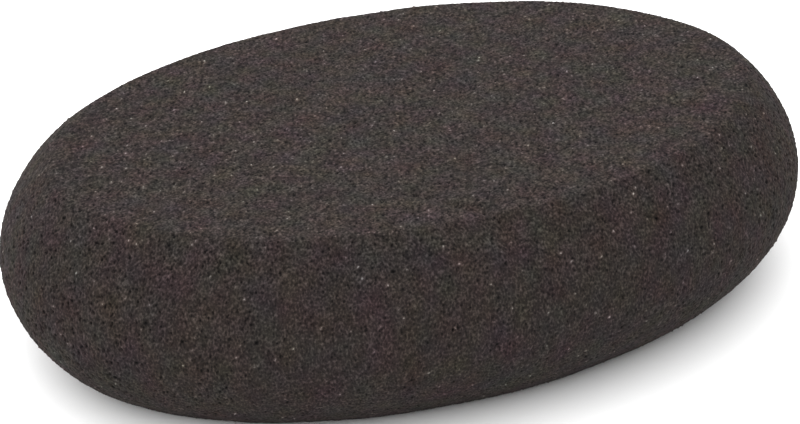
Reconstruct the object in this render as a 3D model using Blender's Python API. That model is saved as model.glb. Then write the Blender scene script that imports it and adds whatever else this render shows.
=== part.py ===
"""Oval foam polishing pad, worked by hand on car paint.

The pad is one block of flexible fine-cell polyurethane foam. It has a flat face above and
another below, of the same size, and a side wall that swells outwards between them. Either
face can be the working face. The pad stands on its underside with its length along X, its
width along Y and its thickness along Z, and the origin is the middle of the underside.
"""

from math import atan2, copysign, cos, hypot, radians, sin

import bmesh
import bpy
from mathutils import Matrix, Vector

LENGTH = 0.130  # over the side wall at its fullest
WIDTH = 0.0835
THICKNESS = 0.033
BULGE = 0.0091  # how far the side wall stands out past the flat faces at mid-thickness
FULLNESS = 0.935  # power of the wall's curve: 1 is a parabola, and less is fuller
SQUARENESS = 2.065  # power of the outline: 2 is a true ellipse
RIM_BEVEL = 0.0006  # width of the rounding where a flat face meets the wall

SEGMENTS = 96  # round the outline
LEVELS = 14  # up the wall
RIM_STEPS = 2
SHARP_ANGLE = radians(35)

FOAM_COLOUR = (0.0555, 0.0452, 0.0424, 1.0)  # warm charcoal, linear
FOAM_ROUGHNESS = 0.95


def clear_scene():
    """Remove whatever the file opens with."""
    for thing in list(bpy.data.objects):
        bpy.data.objects.remove(thing, do_unlink=True)


def signed_power(value, power):
    """Raise a number's size to a power and keep its sign."""
    return copysign(abs(value) ** power, value)


def face_outline(angle):
    """Return a point on a flat face's outline, and the outward direction there."""
    half_length = LENGTH / 2 - BULGE
    half_width = WIDTH / 2 - BULGE
    x = half_length * signed_power(cos(angle), 2 / SQUARENESS)
    y = half_width * signed_power(sin(angle), 2 / SQUARENESS)
    slope_x = signed_power(x / half_length, SQUARENESS - 1) / half_length
    slope_y = signed_power(y / half_width, SQUARENESS - 1) / half_width
    steepness = hypot(slope_x, slope_y)
    return x, y, slope_x / steepness, slope_y / steepness


def swell(height):
    """Return how far the wall stands out past the flat faces at a height."""
    from_middle = 2 * height / THICKNESS - 1
    return BULGE * max(0.0, 1 - from_middle**2) ** FULLNESS


def wall_point(angle, height):
    """Return the wall's point in a direction round the pad and at a height."""
    x, y, out_x, out_y = face_outline(angle)
    step = swell(height)
    return Vector((x + out_x * step, y + out_y * step, height))


def rim_edges(bm):
    """Return the edges where a flat face meets the wall."""
    flat_faces = [face for face in bm.faces if len(face.verts) > 4]
    return [edge for face in flat_faces for edge in face.edges]


def foam_mesh():
    """Shape a drum into the barrel-sided oval block and round its two rims."""
    bm = bmesh.new()
    middle = Matrix.Translation((0, 0, THICKNESS / 2))
    bmesh.ops.create_cone(
        bm, cap_ends=True, segments=SEGMENTS, radius1=1, radius2=1, depth=THICKNESS, matrix=middle
    )
    upright = [edge for edge in bm.edges if abs(edge.verts[0].co.z - edge.verts[1].co.z) > THICKNESS / 2]
    bmesh.ops.subdivide_edges(bm, edges=upright, cuts=LEVELS - 1)
    for vert in bm.verts:
        vert.co = wall_point(atan2(vert.co.y, vert.co.x), vert.co.z)
    bmesh.ops.bevel(
        bm, geom=rim_edges(bm), offset=RIM_BEVEL, segments=RIM_STEPS, profile=0.5, affect="EDGES"
    )
    mesh = bpy.data.meshes.new("foam_pad")
    bm.to_mesh(mesh)
    bm.free()
    mesh.shade_smooth()
    mesh.set_sharp_from_angle(angle=SHARP_ANGLE)
    return mesh


def foam_material():
    """Return the dull warm-charcoal finish of the foam."""
    material = bpy.data.materials.new("foam")
    material.use_nodes = True
    shader = material.node_tree.nodes["Principled BSDF"]
    shader.inputs["Base Color"].default_value = FOAM_COLOUR
    shader.inputs["Roughness"].default_value = FOAM_ROUGHNESS
    shader.inputs["Metallic"].default_value = 0.0
    return material


def make_foam_pad():
    """Put the pad in the scene, standing on its underside."""
    pad = bpy.data.objects.new("foam_pad", foam_mesh())
    pad.data.materials.append(foam_material())
    bpy.context.scene.collection.objects.link(pad)


clear_scene()
make_foam_pad()
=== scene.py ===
"""Scene for the oval foam polishing pad.

The pad is one block of flexible, fine-cell polyurethane foam. It was cut with a flat face on each
side and a wall that swells outwards between them. It lies on its underside, its length along X and
its thickness along Z, with the origin at the middle of the underside.
"""

import logging
import math
from dataclasses import dataclass
from enum import Enum
from typing import Any, NamedTuple

import bpy
import numpy as np
from mathutils import Matrix, Vector
from mathutils.kdtree import KDTree


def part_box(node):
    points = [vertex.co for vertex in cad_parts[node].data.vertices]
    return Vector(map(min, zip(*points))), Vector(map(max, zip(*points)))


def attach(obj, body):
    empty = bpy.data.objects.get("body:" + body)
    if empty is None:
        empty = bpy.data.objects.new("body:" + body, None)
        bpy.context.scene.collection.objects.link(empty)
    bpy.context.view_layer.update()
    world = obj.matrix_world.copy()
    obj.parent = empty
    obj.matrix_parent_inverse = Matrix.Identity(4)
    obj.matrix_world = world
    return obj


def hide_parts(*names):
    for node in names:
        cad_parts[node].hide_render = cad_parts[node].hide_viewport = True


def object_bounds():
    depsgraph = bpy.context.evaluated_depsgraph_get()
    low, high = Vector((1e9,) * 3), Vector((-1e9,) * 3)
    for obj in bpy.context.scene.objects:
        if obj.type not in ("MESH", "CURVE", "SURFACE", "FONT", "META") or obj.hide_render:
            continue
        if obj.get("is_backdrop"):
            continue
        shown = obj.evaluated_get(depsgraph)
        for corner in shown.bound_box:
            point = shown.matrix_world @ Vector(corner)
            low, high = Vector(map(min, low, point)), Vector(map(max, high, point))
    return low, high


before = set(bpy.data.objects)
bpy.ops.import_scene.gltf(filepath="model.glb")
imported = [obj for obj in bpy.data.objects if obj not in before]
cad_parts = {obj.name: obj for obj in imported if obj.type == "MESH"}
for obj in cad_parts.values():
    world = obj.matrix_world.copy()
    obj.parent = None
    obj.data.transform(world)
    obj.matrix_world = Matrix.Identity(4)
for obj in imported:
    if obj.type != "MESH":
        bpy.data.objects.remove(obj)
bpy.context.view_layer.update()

MM = 0.001

# The piece's attribute of painted shade and highlight: below 0 for painted shade in an open pore,
# down to -1, and above 0 for a painted highlight on a strand, up to 1.
SHADE_AND_GLINT = "shade_and_glint"

# The value at which a displacing pattern leaves the surface where it is.
STILL = 0.5

# The sockets of a Mix node set to colours. They go by number, because their names repeat.
MIX_SHARE, MIX_FIRST, MIX_SECOND, MIX_RESULT = 0, 6, 7, 2

log = logging.getLogger("polishing_pad")


def linear(hex_colour: str) -> tuple[float, float, float, float]:
    """Turn an sRGB colour into the linear one that Blender's sockets hold.

    Args:
        hex_colour: six hex digits after a hash sign.

    Returns:
        Linear red, green and blue, and an alpha of 1.
    """
    parts = [int(hex_colour[start : start + 2], 16) / 255 for start in (1, 3, 5)]
    red, green, blue = (c / 12.92 if c <= 0.04045 else ((c + 0.055) / 1.055) ** 2.4 for c in parts)
    return red, green, blue, 1.0


def add_node(
    tree: bpy.types.NodeTree,
    kind: str,
    values: dict[str | int, Any] | None = None,
    links: dict[str | int, bpy.types.NodeSocket] | None = None,
    **settings: Any,
) -> bpy.types.Node:
    """Add a shader node with its settings, socket values and incoming links.

    Args:
        tree: the material's or the world's node tree.
        kind: the node's type name.
        values: input socket to the number, vector or colour it holds.
        links: input socket to the output that feeds it.
        **settings: the node's own properties.

    Returns:
        The new node.
    """
    node = tree.nodes.new(kind)
    for name, setting in settings.items():
        setattr(node, name, setting)
    for socket, value in (values or {}).items():
        node.inputs[socket].default_value = value
    for socket, source in (links or {}).items():
        tree.links.new(source, node.inputs[socket])
    return node


def select_only(piece: bpy.types.Object) -> None:
    """Make one object the whole selection and the active one.

    Args:
        piece: the object that the next operator works on.
    """
    bpy.ops.object.select_all(action="DESELECT")
    piece.select_set(True)
    bpy.context.view_layer.objects.active = piece


def read_points(mesh: bpy.types.Mesh) -> np.ndarray:
    """Read where a mesh's vertices are.

    Args:
        mesh: the mesh.

    Returns:
        The vertex positions, one row each.
    """
    flat = np.empty(len(mesh.vertices) * 3, np.float32)
    mesh.vertices.foreach_get("co", flat)
    return flat.reshape(-1, 3).astype(float)


def write_points(mesh: bpy.types.Mesh, points: np.ndarray) -> None:
    """Move a mesh's vertices to new positions, one row each."""
    mesh.vertices.foreach_set("co", points.astype(np.float32).ravel())
    mesh.update()


def read_normals(mesh: bpy.types.Mesh) -> np.ndarray:
    """Read which way a mesh faces at its vertices.

    Args:
        mesh: the mesh.

    Returns:
        The outward directions, one row each.
    """
    flat = np.empty(len(mesh.vertices) * 3, np.float32)
    mesh.vertex_normals.foreach_get("vector", flat)
    return flat.reshape(-1, 3).astype(float)


def signed_power(values: np.ndarray, power: float) -> np.ndarray:
    """Raise each number's size to a power and keep its sign."""
    return np.sign(values) * np.abs(values) ** power


class Face(Enum):
    """The pad's two flat faces, as the way that each one looks along Z."""

    TOP = 1
    UNDERSIDE = -1


class Tone(NamedTuple):
    """The colour painted at one height of the cut surface: darker, as painted shade, where it lies
    low, and lighter, as painted light, where it stands high.
    """

    height: float
    colour: str


@dataclass(frozen=True)
class CutFoam:
    """Fine-cell flexible polyurethane foam, dyed charcoal and cut to shape.

    The cut opens the cells, so the eye sees dull struts with cells between them, longer up the
    wall because the cells stretched as the foam rose. The colour paints shade into the cells and
    light onto the struts. Painted shade makes burst pores black dots, while strands that stand
    proud of the cut get a painted highlight as pale dots, the strongest few standing for specks of
    dust. The dye is faintly uneven in hue.
    """

    # The two darkest tones are painted shade in burst pores and in cells. The tone above the body
    # is painted light on struts, and the palest is a painted highlight on proud strands; the body
    # is the dyed foam itself.
    burst_pore_shade: Tone = Tone(0.05, "#0a0807")
    cell: Tone = Tone(0.32, "#161313")
    body: Tone = Tone(0.50, "#302a28")
    lit_strut: Tone = Tone(0.68, "#4f4643")
    strand_glint: Tone = Tone(0.97, "#a29c97")
    # How far the attribute of painted shade and highlight moves the colour along the tones.
    shade_and_glint_share: float = 0.45
    fine_cell_mm: float = 0.36
    fine_cell_values: tuple[float, float] = (0.15, 0.95)
    fine_cell_heights: tuple[float, float] = (0.16, 0.32)
    grit_mm: float = 0.30
    grit_values: tuple[float, float] = (0.2, 0.8)
    grit_heights: tuple[float, float] = (0.12, 0.40)
    dye_mm: float = 4.6
    dye_share: float = 0.36
    finer_share: float = 0.6
    rise_stretch: float = 1.5
    bump_mm: float = 0.1
    bump_strength: float = 0.5
    roughness: float = 0.92
    ior: float = 1.5
    gloss: float = 0.07
    fuzz: float = 0.012
    fuzz_roughness: float = 0.5

    def material(self) -> bpy.types.Material:
        """Build the foam's material.

        Returns:
            A material whose patterns read the piece's own coordinates and its attribute of painted
            shade and highlight.
        """
        material = bpy.data.materials.new("cut_polyurethane_foam")
        material.use_nodes = True
        tree = material.node_tree
        shader = tree.nodes["Principled BSDF"]
        place = self._risen_place(tree)
        grain = self._grain(tree, place)
        bumps = {"Strength": self.bump_strength, "Distance": self.bump_mm * MM}
        bump = add_node(tree, "ShaderNodeBump", bumps, {"Height": grain})
        tree.links.new(self._colour(tree, place, grain), shader.inputs["Base Color"])
        tree.links.new(bump.outputs["Normal"], shader.inputs["Normal"])
        shader.inputs["Roughness"].default_value = self.roughness
        shader.inputs["IOR"].default_value = self.ior
        shader.inputs["Specular IOR Level"].default_value = self.gloss
        shader.inputs["Sheen Weight"].default_value = self.fuzz
        shader.inputs["Sheen Roughness"].default_value = self.fuzz_roughness
        return material

    def _risen_place(self, tree: bpy.types.NodeTree) -> bpy.types.NodeSocket:
        """Press the piece's coordinates along Z, so that patterns on them come out tall.

        Args:
            tree: the material's node tree.

        Returns:
            The pressed coordinates.
        """
        place = add_node(tree, "ShaderNodeTexCoord").outputs["Object"]
        scale = (1.0, 1.0, 1.0 / self.rise_stretch)
        pressed = add_node(tree, "ShaderNodeMapping", {"Scale": scale}, {"Vector": place})
        return pressed.outputs["Vector"]

    def _clouds(
        self, tree: bpy.types.NodeTree, place: bpy.types.NodeSocket, size_mm: float
    ) -> bpy.types.Node:
        """Add a cloudy pattern of one size, with one finer layer on it."""
        values = {"Scale": 1.0 / (size_mm * MM), "Detail": 1.0, "Roughness": self.finer_share}
        return add_node(tree, "ShaderNodeTexNoise", values, {"Vector": place})

    def _spread(
        self,
        tree: bpy.types.NodeTree,
        source: bpy.types.NodeSocket,
        given: tuple[float, float],
        wanted: tuple[float, float],
    ) -> bpy.types.NodeSocket:
        """Spread a pattern's range over another one.

        Args:
            tree: the material's node tree.
            source: the pattern.
            given: the pattern's low and high values.
            wanted: what those two become.

        Returns:
            The spread pattern, held within the wanted range.
        """
        values = dict(zip(("From Min", "From Max", "To Min", "To Max"), given + wanted))
        return add_node(tree, "ShaderNodeMapRange", values, {"Value": source}).outputs["Result"]

    def _sum(
        self,
        tree: bpy.types.NodeTree,
        first: bpy.types.NodeSocket,
        second: bpy.types.NodeSocket,
    ) -> bpy.types.NodeSocket:
        """Add two patterns up."""
        node = add_node(tree, "ShaderNodeMath", links={0: first, 1: second}, operation="ADD")
        return node.outputs["Value"]

    def _grain(
        self, tree: bpy.types.NodeTree, place: bpy.types.NodeSocket
    ) -> bpy.types.NodeSocket:
        """Make the finest cells and the grit between them.

        Args:
            tree: the material's node tree.
            place: the pressed coordinates.

        Returns:
            The height of the cut surface, which is the body's tone at the middle of its range.
        """
        scale = 1.0 / (self.fine_cell_mm * MM)
        cells = add_node(tree, "ShaderNodeTexVoronoi", {"Scale": scale}, {"Vector": place})
        grit = self._clouds(tree, place, self.grit_mm).outputs["Fac"]
        fine = self._spread(
            tree, cells.outputs["Distance"], self.fine_cell_values, self.fine_cell_heights
        )
        return self._sum(tree, fine, self._spread(tree, grit, self.grit_values, self.grit_heights))

    def _colour(
        self,
        tree: bpy.types.NodeTree,
        place: bpy.types.NodeSocket,
        grain: bpy.types.NodeSocket,
    ) -> bpy.types.NodeSocket:
        """Colour the foam by the surface's height, from painted shade in black pores to painted
        highlights on pale strands, and dye it a little unevenly.

        Args:
            tree: the material's node tree.
            place: the pressed coordinates.
            grain: the height of the cut surface.

        Returns:
            The foam's colour.
        """
        shade_and_glint = add_node(tree, "ShaderNodeAttribute", attribute_name=SHADE_AND_GLINT).outputs["Fac"]
        reach = (-self.shade_and_glint_share, self.shade_and_glint_share)
        height = self._sum(tree, grain, self._spread(tree, shade_and_glint, (-1.0, 1.0), reach))
        # The ramp paints light: low parts of the surface get painted shade, high parts painted
        # light, and the highest a painted highlight.
        ramp = add_node(tree, "ShaderNodeValToRGB", links={"Fac": height})
        stops = ramp.color_ramp.elements
        for stop, tone in zip(stops, (self.burst_pore_shade, self.strand_glint)):
            stop.position, stop.color = tone.height, linear(tone.colour)
        for tone in (self.cell, self.body, self.lit_strut):
            stops.new(tone.height).color = linear(tone.colour)
        pigments = self._clouds(tree, place, self.dye_mm).outputs["Color"]
        faint = {MIX_SHARE: self.dye_share, MIX_FIRST: linear("#ffffff")}
        dye = add_node(tree, "ShaderNodeMix", faint, {MIX_SECOND: pigments}, data_type="RGBA")
        dyed = add_node(
            tree,
            "ShaderNodeMix",
            {MIX_SHARE: 1.0},
            {MIX_FIRST: ramp.outputs["Color"], MIX_SECOND: dye.outputs[MIX_RESULT]},
            data_type="RGBA",
            blend_type="MULTIPLY",
        )
        return dyed.outputs[MIX_RESULT]


@dataclass(frozen=True)
class PressMark:
    """A shallow groove that the foam has kept.

    It runs in plan from its start to its end, as shares of half the length and half the width.
    """

    start: tuple[float, float]
    end: tuple[float, float]
    depth: float
    half_width: float
    depth_at_start: float = 0.2

    def drop(self, points: np.ndarray, spans: np.ndarray) -> np.ndarray:
        """Work out how deep the mark is at each point.

        Args:
            points: vertex positions, one row each.
            spans: the pad's half length, half width and thickness.

        Returns:
            The depth at each point, growing from the start to the end of the mark.
        """
        start, end = np.array(self.start) * spans[:2], np.array(self.end) * spans[:2]
        along = end - start
        share = np.clip(((points[:, :2] - start) @ along) / (along @ along), 0.0, 1.0)
        nearest = start + share[:, None] * along
        distance = np.linalg.norm(points[:, :2] - nearest, axis=1)
        grown = self.depth_at_start + (1 - self.depth_at_start) * share
        return self.depth * grown * np.exp(-((distance / self.half_width) ** 2))


@dataclass(frozen=True)
class Lean:
    """A broad stretch of wall that stands out a little, or hangs back where rise is below 0.

    Its place is in shares of half the length, half the width and the whole thickness.
    """

    place: tuple[float, float, float]
    reach: float
    rise: float

    def push(self, points: np.ndarray, spans: np.ndarray) -> np.ndarray:
        """Return how far each point moves outwards, for a pad of these spans."""
        away = np.linalg.norm(points - np.array(self.place) * spans, axis=1)
        return self.rise * np.exp(-((away / self.reach) ** 2))


@dataclass(frozen=True)
class Specks:
    """Small separate spots of one kind, strewn evenly over the cut foam.

    The nearer sameness is to 0, the fewer spots come near to full strength.
    """

    count: int
    radius: float
    height: float
    shade_and_glint: float
    sameness: float
    seed: int

    def strew(self, points: np.ndarray, net: KDTree) -> np.ndarray:
        """Place the spots.

        Args:
            points: vertex positions, one row each.
            net: the same positions, ready to be searched.

        Returns:
            How much of a full spot there is at each point, from 0 to 1.
        """
        dice = np.random.default_rng(self.seed)
        share = np.zeros(len(points))
        for centre in dice.integers(0, len(points), self.count):
            strength = dice.random() ** (1 / self.sameness)
            for _, index, away in net.find_range(Vector(points[centre]), 2 * self.radius):
                spot = strength * math.exp(-((away / self.radius) ** 2))
                share[index] = max(share[index], spot)
        return share


@dataclass
class FoamPad:
    """The pad's one piece: the block of foam, shaped, softened at its edges and opened into cells.

    The outline is an oval, and a squareness of 2 would make it an ellipse. The wall swells past the
    flat faces by its bulge, and the lower the power in fullness, the fuller the wall.
    """

    length: float
    width: float
    thickness: float
    bulge: float = 9.1 * MM
    fullness: float = 0.935
    squareness: float = 2.065
    segments: int = 256
    levels: int = 40
    grain: float = 0.24 * MM
    wall_slope: float = 0.67
    edge_softness: float = 0.25 * MM
    shoulder_softness: float = 0.9 * MM
    underside_softness: float = 0.63 * MM
    shoulder_start: float = 0.5
    shoulder_span: float = 0.4
    swell: float = 14 * MM
    swell_depth: float = 0.4 * MM
    cell: float = 0.48 * MM
    cell_depth: float = 0.13 * MM
    pore: float = 0.78 * MM
    pore_share: float = 0.34
    pore_depth: float = 0.30 * MM
    # The pores' painted shade and the grit's painted shade and light, set through the attribute;
    # the grit's pattern moves no geometry.
    pore_shade: float = 0.22
    across_the_rise: float = 2.0
    end_tear: float = 1.3
    grit: float = 0.42 * MM
    grit_shading: float = 1.1
    mark_floor: float = 0.75
    mark_full: float = 0.95
    marks: tuple[PressMark, ...] = (
        PressMark((-0.16, -0.49), (0.065, -0.81), depth=0.6 * MM, half_width=0.8 * MM),
        PressMark((-0.06, -0.80), (0.08, -0.83), depth=0.7 * MM, half_width=2.2 * MM),
    )
    leans: tuple[Lean, ...] = (
        Lean((0.40, -0.86, 0.21), 14 * MM, -0.45 * MM),
        Lean((0.62, -0.70, 0.18), 9 * MM, -0.30 * MM),
        Lean((-0.43, -0.79, 0.12), 10 * MM, 0.25 * MM),
        Lean((-0.85, -0.43, 0.21), 10 * MM, 0.45 * MM),
        Lean((-0.95, 0.17, 0.73), 8 * MM, -0.30 * MM),
        Lean((-0.55, 0.62, 1.00), 10 * MM, -0.50 * MM),
        Lean((0.09, 0.77, 1.00), 12 * MM, 0.45 * MM),
        Lean((0.32, 0.74, 0.97), 9 * MM, 0.30 * MM),
        Lean((0.77, 0.41, 0.94), 9 * MM, -0.45 * MM),
    )
    # Burst pores are real pits, and the attribute gives them painted shade, near black.
    shaded_burst_pores: Specks = Specks(
        count=520, radius=0.22 * MM, height=-0.28 * MM, shade_and_glint=-1.0, sameness=1.0, seed=5
    )
    # Strands stand up for real, and the attribute gives them a painted highlight; the strongest few
    # stand for specks of dust.
    glinting_strands: Specks = Specks(
        count=6000, radius=0.20 * MM, height=0.22 * MM, shade_and_glint=0.95, sameness=0.27, seed=8
    )

    def build(self) -> bpy.types.Object:
        """Model the block.

        Returns:
            The finished piece, at the origin and unscaled.
        """
        piece = self._drum()
        self._barrel(piece)
        self._remesh(piece)
        self._soften_edges(piece)
        self._settle(piece)
        self._press(piece)
        self._roughen(piece)
        self._open_cells(piece)
        select_only(piece)
        bpy.ops.object.shade_smooth()
        return piece

    def dress(self, piece: bpy.types.Object, finish: CutFoam) -> None:
        """Give the block its finish and tie it to the frame.

        Args:
            piece: the block.
            finish: the foam that it is cut from.
        """
        piece.data.materials.clear()
        piece.data.materials.append(finish.material())
        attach(piece, "root")
        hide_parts("foam_pad")

    def _spans(self) -> np.ndarray:
        """Return the pad's half length, half width and thickness."""
        return np.array((self.length / 2, self.width / 2, self.thickness))

    def _half_sides(self) -> tuple[float, float]:
        """Return the flat faces' half length and half width."""
        return self.length / 2 - self.bulge, self.width / 2 - self.bulge

    def _drum(self) -> bpy.types.Object:
        """Add a round drum as tall as the pad, its wall cut into level rings.

        Returns:
            The drum, standing on the origin, with a radius of 1.
        """
        bpy.ops.object.select_all(action="DESELECT")
        middle = (0, 0, self.thickness / 2)
        bpy.ops.mesh.primitive_cylinder_add(
            vertices=self.segments, radius=1.0, depth=self.thickness, location=middle
        )
        piece = bpy.context.active_object
        piece.name = "foam_block"
        bpy.ops.object.transform_apply(location=True, rotation=True, scale=True)
        bpy.ops.object.mode_set(mode="EDIT")
        bpy.ops.mesh.select_mode(type="EDGE")
        bpy.ops.mesh.select_all(action="DESELECT")
        bpy.ops.object.mode_set(mode="OBJECT")
        points = piece.data.vertices
        for edge in piece.data.edges:
            low, high = (points[index].co.z for index in edge.vertices)
            edge.select = abs(high - low) > self.thickness / 2
        bpy.ops.object.mode_set(mode="EDIT")
        bpy.ops.mesh.subdivide(number_cuts=self.levels - 1)
        bpy.ops.object.mode_set(mode="OBJECT")
        return piece

    def _barrel(self, piece: bpy.types.Object) -> None:
        """Shape the drum into an oval whose wall swells outwards.

        Args:
            piece: the drum.
        """
        points = read_points(piece.data)
        half_length, half_width = self._half_sides()
        angle = np.arctan2(points[:, 1], points[:, 0])
        x = half_length * signed_power(np.cos(angle), 2 / self.squareness)
        y = half_width * signed_power(np.sin(angle), 2 / self.squareness)
        out = np.stack(
            (
                signed_power(x / half_length, self.squareness - 1) / half_length,
                signed_power(y / half_width, self.squareness - 1) / half_width,
            ),
            axis=1,
        )
        out /= np.linalg.norm(out, axis=1, keepdims=True)
        from_middle = 2 * points[:, 2] / self.thickness - 1
        swell = self.bulge * np.clip(1 - from_middle**2, 0, None) ** self.fullness
        points[:, 0] = x + out[:, 0] * swell
        points[:, 1] = y + out[:, 1] * swell
        write_points(piece.data, points)

    def _remesh(self, piece: bpy.types.Object) -> None:
        """Cover the block with an even net of small faces, fine enough to hold its cells.

        Args:
            piece: the block.
        """
        select_only(piece)
        modifier = piece.modifiers.new("grain", "REMESH")
        modifier.mode = "VOXEL"
        modifier.voxel_size = self.grain
        modifier.use_smooth_shade = True
        bpy.ops.object.modifier_apply(modifier=modifier.name)

    def _inside(self, points: np.ndarray) -> np.ndarray:
        """Measure how far each point lies inside the flat faces' outline, in plan.

        Args:
            points: vertex positions, one row each.

        Returns:
            The distance to the outline, below 0 outside it.
        """
        tiny = 1e-6
        half_length, half_width = self._half_sides()
        power = self.squareness
        across = np.abs(points[:, 0] / half_length)
        deep = np.abs(points[:, 1] / half_width)
        reach = np.maximum((across**power + deep**power) ** (1 / power), tiny)
        slope_x = across ** (power - 1) / half_length
        slope_y = deep ** (power - 1) / half_width
        slope = np.hypot(slope_x, slope_y) * reach ** (1 - power)
        return (1 - reach) / np.maximum(slope, tiny)

    def _softness(self, points: np.ndarray, face: Face) -> np.ndarray:
        """Set how wide the rounding between face and wall is.

        Args:
            points: vertex positions, one row each.
            face: which flat face's edge is meant.

        Returns:
            A width for each point: crisp along the upper face's long sides, rounder at its ends,
            and round all along the underside.
        """
        if face is Face.UNDERSIDE:
            return np.full(len(points), self.underside_softness)
        along = np.abs(points[:, 0]) / (self.length / 2)
        toward_end = np.clip((along - self.shoulder_start) / self.shoulder_span, 0, 1)
        eased = toward_end**2 * (3 - 2 * toward_end)
        return self.edge_softness + (self.shoulder_softness - self.edge_softness) * eased

    def _soften_edges(self, piece: bpy.types.Object) -> None:
        """Round the edges between the flat faces and the wall.

        Args:
            piece: the block.
        """
        flat_band = 0.4 * self.grain
        for face in Face:
            points, normals = read_points(piece.data), read_normals(piece.data)
            face_height = self.thickness if face is Face.TOP else 0.0
            below = np.abs(points[:, 2] - face_height)
            from_edge = np.where(below < flat_band, self._inside(points) * self.wall_slope, below)
            softness = self._softness(points, face)
            step = np.clip(softness - np.clip(from_edge, 0, None), 0, None) ** 2 / (4 * softness)
            write_points(piece.data, points - normals * step[:, None])

    def _settle(self, piece: bpy.types.Object) -> None:
        """Lean the wall in and out, where the blade wandered as it cut.

        Args:
            piece: the block.
        """
        points = read_points(piece.data)
        push = sum(lean.push(points, self._spans()) for lean in self.leans)
        level_normals = read_normals(piece.data) * (1, 1, 0)
        write_points(piece.data, points + level_normals * push[:, None])

    def _press(self, piece: bpy.types.Object) -> None:
        """Press the marks into the upper face and over its front edge.

        Args:
            piece: the block.
        """
        points, normals = read_points(piece.data), read_normals(piece.data)
        height = points[:, 2] / self.thickness
        upper = np.clip((height - self.mark_floor) / (self.mark_full - self.mark_floor), 0, 1)
        drop = sum(mark.drop(points, self._spans()) for mark in self.marks) * upper
        write_points(piece.data, points - normals * drop[:, None])

    def _displace(
        self, piece: bpy.types.Object, texture: bpy.types.Texture, strength: float
    ) -> None:
        """Move the surface in and out by a solid pattern, its cells taller than they are wide.

        Args:
            piece: the block.
            texture: the pattern, which moves nothing where its value is STILL.
            strength: the way from the pattern's darkest to its brightest, in metres.
        """
        bpy.ops.object.select_all(action="DESELECT")
        bpy.ops.object.empty_add(location=(0, 0, 0))
        guide = bpy.context.active_object
        guide.scale.z = CutFoam.rise_stretch
        bpy.context.view_layer.update()
        select_only(piece)
        modifier = piece.modifiers.new("pattern", "DISPLACE")
        modifier.texture = texture
        modifier.texture_coords = "OBJECT"
        modifier.texture_coords_object = guide
        modifier.mid_level = STILL
        modifier.strength = strength
        bpy.ops.object.modifier_apply(modifier=modifier.name)
        bpy.data.objects.remove(guide)

    def _roughen(self, piece: bpy.types.Object) -> None:
        """Give the surface its slow unevenness.

        Args:
            piece: the block.
        """
        swells = bpy.data.textures.new("swells", "CLOUDS")
        swells.noise_scale = self.swell
        self._displace(piece, swells, self.swell_depth)

    def _read_pattern(self, piece: bpy.types.Object, kind: str, size: float) -> np.ndarray:
        """Read a solid pattern at each point of the surface.

        The pattern moves the surface by a millimetre, the way that it moved is measured, and the
        surface goes back.

        Args:
            piece: the block, which comes back unmoved.
            kind: the pattern's texture type.
            size: the width of its cells, in metres.

        Returns:
            The pattern's value at each point.
        """
        points, normals = read_points(piece.data), read_normals(piece.data)
        texture = bpy.data.textures.new("pattern", kind)
        texture.noise_scale = size
        self._displace(piece, texture, MM)
        moved = np.einsum("ij,ij->i", read_points(piece.data) - points, normals)
        write_points(piece.data, points)
        return moved / MM + STILL

    def _open_cells(self, piece: bpy.types.Object) -> None:
        """Open the cells, burst some of them and leave strands, and note the painted shade and
        highlight that they get.

        Pores are deeper at the pad's two ends. Their painted shade is darker there, and darker
        still where the cut runs level, across the foam's rise, where the level faces also get
        painted shade and light in a grit.

        Args:
            piece: the block.
        """
        cells = self._read_pattern(piece, "VORONOI", self.cell)
        pores = self._read_pattern(piece, "VORONOI", self.pore)
        grit = self._read_pattern(piece, "CLOUDS", self.grit)
        points, normals = read_points(piece.data), read_normals(piece.data)
        level = normals[:, 2] ** 2
        torn = 1 + self.end_tear * normals[:, 0] ** 2
        opened = np.clip(1 - pores / self.pore_share, 0, 1)
        rise = torn * (self.cell_depth * (cells - cells.mean()) - self.pore_depth * opened)
        # Painted shade in the open pores, stronger at the ends and on the level faces, then painted
        # shade and light of grit on the level faces.
        shade_and_glint = -self.pore_shade * (torn + self.across_the_rise * level) * opened
        shade_and_glint += self.grit_shading * level * (grit - grit.mean())
        net = KDTree(len(points))
        for index, point in enumerate(points):
            net.insert(point, index)
        net.balance()
        for specks in (self.shaded_burst_pores, self.glinting_strands):
            share = specks.strew(points, net)
            rise += specks.height * share
            shade_and_glint += specks.shade_and_glint * share
        log.info("cut surface runs from %.2f to %.2f mm", rise.min() / MM, rise.max() / MM)
        write_points(piece.data, points + normals * rise[:, None])
        attribute = piece.data.attributes.new(SHADE_AND_GLINT, "FLOAT", "POINT")
        attribute.data.foreach_set("value", shade_and_glint.astype(np.float32))


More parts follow.
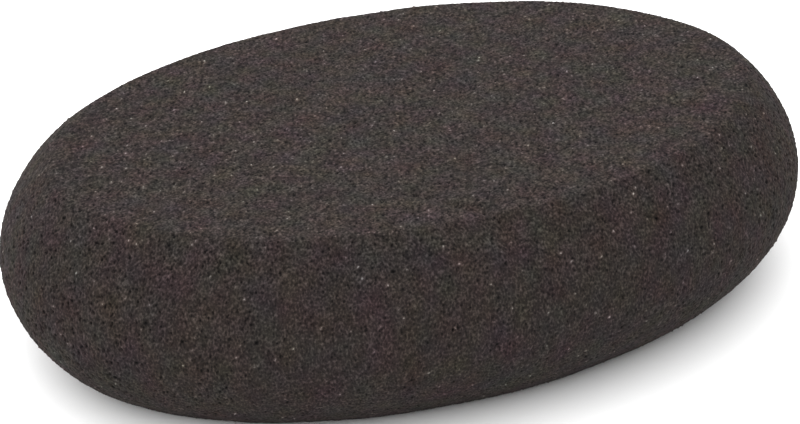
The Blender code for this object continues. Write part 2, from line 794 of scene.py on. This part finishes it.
@dataclass
class Studio:
    """A plain pale floor under one broad, soft light, with a white sky."""

    floor_radius: float = 6.0
    floor_segments: int = 128
    floor_colour: str = "#fafafa"
    floor_roughness: float = 0.9
    floor_gloss: float = 0.1
    sky_colour: str = "#ffffff"
    sky_light: float = 0.55
    sky_seen: float = 1.0
    lamp_strength: float = 4.7
    lamp_width: float = 130.0
    lamp_lean: tuple[float, float, float] = (-0.18, 0.25, 1.0)

    def build(self) -> None:
        """Lay the floor, hang the lamp and light the sky."""
        self._floor()
        self._lamp()
        self._sky()

    def _floor(self) -> None:
        """Lay a wide round sheet of matt white paper, which shows no gloss and a pale shadow."""
        bpy.ops.object.select_all(action="DESELECT")
        bpy.ops.mesh.primitive_circle_add(
            vertices=self.floor_segments, radius=self.floor_radius, fill_type="NGON"
        )
        floor = bpy.context.active_object
        floor.name = "studio_floor"
        material = bpy.data.materials.new("matt_paper")
        material.use_nodes = True
        shader = material.node_tree.nodes["Principled BSDF"]
        shader.inputs["Base Color"].default_value = linear(self.floor_colour)
        shader.inputs["Roughness"].default_value = self.floor_roughness
        shader.inputs["Specular IOR Level"].default_value = self.floor_gloss
        floor.data.materials.append(material)
        floor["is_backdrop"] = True

    def _lamp(self) -> None:
        """Hang a broad lamp overhead, a little to the left and towards the back."""
        lamp_data = bpy.data.lights.new("soft_lamp", "SUN")
        lamp_data.energy = self.lamp_strength
        lamp_data.angle = math.radians(self.lamp_width)
        lamp = bpy.data.objects.new("soft_lamp", lamp_data)
        lamp.rotation_euler = Vector(self.lamp_lean).to_track_quat("Z", "Y").to_euler()
        bpy.context.scene.collection.objects.link(lamp)

    def _sky(self) -> None:
        """Light the scene from all round by a dim sky that is itself seen as white."""
        world = bpy.data.worlds.new("studio_sky")
        world.use_nodes = True
        tree = world.node_tree
        tree.nodes.clear()
        colour = linear(self.sky_colour)
        seen = add_node(tree, "ShaderNodeLightPath").outputs["Is Camera Ray"]
        light, view = (
            add_node(tree, "ShaderNodeBackground", {"Color": colour, "Strength": strength})
            for strength in (self.sky_light, self.sky_seen)
        )
        both = add_node(
            tree, "ShaderNodeMixShader", links={0: seen, 1: light.outputs[0], 2: view.outputs[0]}
        )
        add_node(tree, "ShaderNodeOutputWorld", links={"Surface": both.outputs[0]})
        bpy.context.scene.world = world
        bpy.context.scene.view_settings.view_transform = "Standard"
        bpy.context.scene.view_settings.look = "None"


@dataclass
class ViewPoint:
    """A long-lens camera in front of the pad, a little to its left, looking down at it."""

    middle: Vector
    azimuth: float = -18.1
    elevation: float = 32.5
    roll: float = -1.08
    distance: float = 0.3822
    lens: float = 108.0
    sensor_width: float = 36.0
    nearest_seen: float = 0.01
    farthest_seen: float = 20.0
    aim_right: float = -1.2 * MM
    aim_up: float = -1.9 * MM

    def build(self) -> None:
        """Place the camera and make it the scene's own."""
        turn, rise = math.radians(self.azimuth), math.radians(self.elevation)
        toward = Vector(
            (math.sin(turn) * math.cos(rise), -math.cos(turn) * math.cos(rise), math.sin(rise))
        )
        place = self.middle + toward * self.distance
        right, up = self._across(toward)
        aim = self.middle + right * self.aim_right + up * self.aim_up
        back = (place - aim).normalized()
        right, up = self._across(back)
        axes = Matrix((right, up, back)).transposed().to_4x4()
        data = bpy.data.cameras.new("camera")
        data.lens = self.lens
        data.sensor_width = self.sensor_width
        data.clip_start = self.nearest_seen
        data.clip_end = self.farthest_seen
        camera = bpy.data.objects.new("camera", data)
        camera.matrix_world = Matrix.Translation(place) @ axes
        bpy.context.scene.collection.objects.link(camera)
        bpy.context.scene.camera = camera

    def _across(self, back: Vector) -> tuple[Vector, Vector]:
        """Find the picture's right and up directions for a camera that looks along -back.

        Args:
            back: the direction from what is looked at to the camera.

        Returns:
            The right and the up direction, turned by the camera's roll.
        """
        level_right = Vector((0, 0, 1)).cross(back).normalized()
        turn = Matrix.Rotation(math.radians(self.roll), 3, back)
        right = turn @ level_right
        return right, back.cross(right)


def main() -> None:
    """Build the camera, the studio and the pad, and report each one."""
    logging.basicConfig(level=logging.INFO, format="%(name)s: %(message)s")
    low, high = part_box("foam_pad")
    size = high - low
    ViewPoint(middle=(low + high) / 2).build()
    log.info("camera placed")
    Studio().build()
    log.info("studio lit")
    pad = FoamPad(length=size.x, width=size.y, thickness=size.z)
    piece = pad.build()
    pad.dress(piece, CutFoam())
    log.info("%s built with %d faces", piece.name, len(piece.data.polygons))
    low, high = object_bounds()


if __name__ == "__main__":
    main()
